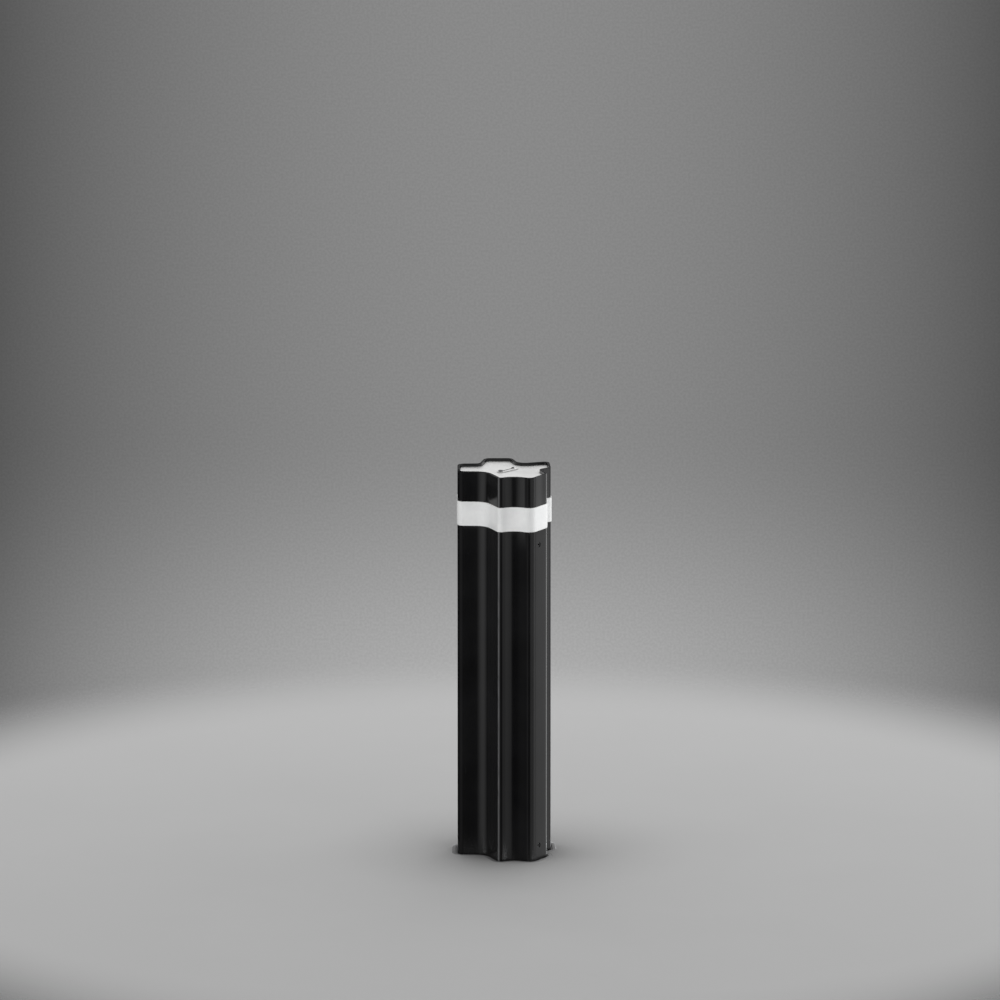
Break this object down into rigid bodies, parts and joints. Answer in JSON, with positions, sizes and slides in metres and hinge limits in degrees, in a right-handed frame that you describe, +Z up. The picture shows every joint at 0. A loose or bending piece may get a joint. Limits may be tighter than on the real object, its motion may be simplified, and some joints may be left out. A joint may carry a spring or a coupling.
{
  "type": "retractable bollard",
  "caption": "Retractable bollard: a lobed black column with a reflective band rises by lead screw out of a square buried casing.",
  "frame": {"origin": "column axis at finished ground level, where the collar's rim is flush with the paving", "axes": "+Z up along the lift; -Y is the column's front, with the ridge-and-hump lobe; +X to the right seen from the front"},
  "size_m": [0.3, 0.315, 1.38],
  "materials": {
    "galvanised_steel": "hot-dip galvanised, dull with faint spangle",
    "spring_steel": "phosphated",
    "bright_steel": "ground and lightly oiled",
    "cap_metal": "satin brushed",
    "stainless_steel": "stainless, machined",
    "black_coating": "black powder coat, semi-gloss",
    "black_plastic": "moulded, matt",
    "dark_steel": "black oxide",
    "sensor_plastic": "moulded, matt",
    "cast_aluminium": "machined casting",
    "bronze": "bearing bronze, machined",
    "guide_plastic": "machined natural acetal",
    "grey_plastic": "moulded, fine texture",
    "black_rubber": "matt elastomer",
    "motor_paint": "baked enamel",
    "reflective_white": "white retroreflective sheeting",
    "grey_cable": "cable sheath",
    "collar_steel": "dark grey coated steel, satin",
    "seal_rubber": "grey matt elastomer"
  },
  "bodies": {
    "ground_unit": {"foundation_casing": "galvanised_steel", "casing_base": "galvanised_steel", "anchor_bars": "galvanised_steel", "top_frame": "galvanised_steel", "cable_conduit": "galvanised_steel", "conduit_gland": "black_plastic", "cover_plate": "galvanised_steel", "cover_screws": "stainless_steel", "surface_collar": "collar_steel", "collar_screws": "stainless_steel", "wiper_seal": "seal_rubber", "hanger_plate": "galvanised_steel", "hanger_screws": "stainless_steel", "guide_collar": "guide_plastic", "guide_bars": "bright_steel", "guide_bar_nuts": "stainless_steel", "rubber_buffers": "black_rubber", "drive_plate": "galvanised_steel", "bearing_housing": "bright_steel", "screw_bearings": "bright_steel", "bearing_circlip": "spring_steel", "gear_case": "cast_aluminium", "motor_gearbox": "cast_aluminium", "motor_can": "motor_paint", "motor_end_cap": "cast_aluminium", "drive_screws": "stainless_steel", "sensor_rail": "cast_aluminium", "end_sensors": "sensor_plastic", "junction_box": "grey_plastic", "junction_box_lid": "grey_plastic", "lid_screws": "stainless_steel", "supply_cable": "black_rubber", "motor_cable": "black_rubber", "sensor_cables": "grey_cable"},
    "column": {"column_shell": "black_coating", "reflective_band": "reflective_white", "cap_plate": "cap_metal", "head_insert": "cast_aluminium", "head_studs": "bright_steel", "upper_bridge": "cast_aluminium", "lower_bridge": "cast_aluminium", "shell_set_screws": "dark_steel", "foot_insert": "cast_aluminium", "foot_plate": "galvanised_steel", "foot_screws": "stainless_steel", "guide_bushes": "bronze", "lead_nut": "bronze", "nut_screws": "stainless_steel", "sensor_target": "bright_steel", "lock_barrel": "dark_steel", "cover_pivot": "dark_steel"},
    "screw": {"lead_screw": "bright_steel", "drive_gear": "bright_steel", "gear_nut": "stainless_steel"},
    "pinion": {"drive_pinion": "bright_steel", "motor_shaft": "bright_steel"},
    "key_cover": {"key_cover": "cap_metal"},
    "lock": {"lock_spindle": "bright_steel", "lock_cam": "bright_steel"}
  },
  "joints": [
    {"name": "column_lift", "type": "slide", "parent": "ground_unit", "child": "column", "axis": [0, 0, 1], "range_m": [-0.5, 0]},
    {"name": "screw_spin", "type": "hinge", "parent": "ground_unit", "child": "screw", "pos_m": [0, 0, -0.4], "axis": [0, 0, 1], "range_deg": [-10, 7210]},
    {"name": "pinion_spin", "type": "hinge", "parent": "ground_unit", "child": "pinion", "pos_m": [0.045, 0, -0.71], "axis": [0, 0, 1], "range_deg": [-21630, 30]},
    {"name": "key_cover_swivel", "type": "hinge", "parent": "column", "child": "key_cover", "pos_m": [-0.0045, -0.008, 0.4972], "axis": [0, 0, 1], "range_deg": [0, 110]},
    {"name": "lock_turn", "type": "hinge", "parent": "column", "child": "lock", "pos_m": [0.011, 0.0104, 0.485], "axis": [0, 0, 1], "range_deg": [0, 90]}
  ],
  "couplings": [
    {"joint": "screw_spin", "follows": "column_lift", "rad_per_m": -251.33},
    {"joint": "pinion_spin", "follows": "column_lift", "rad_per_m": 753.98}
  ]
}
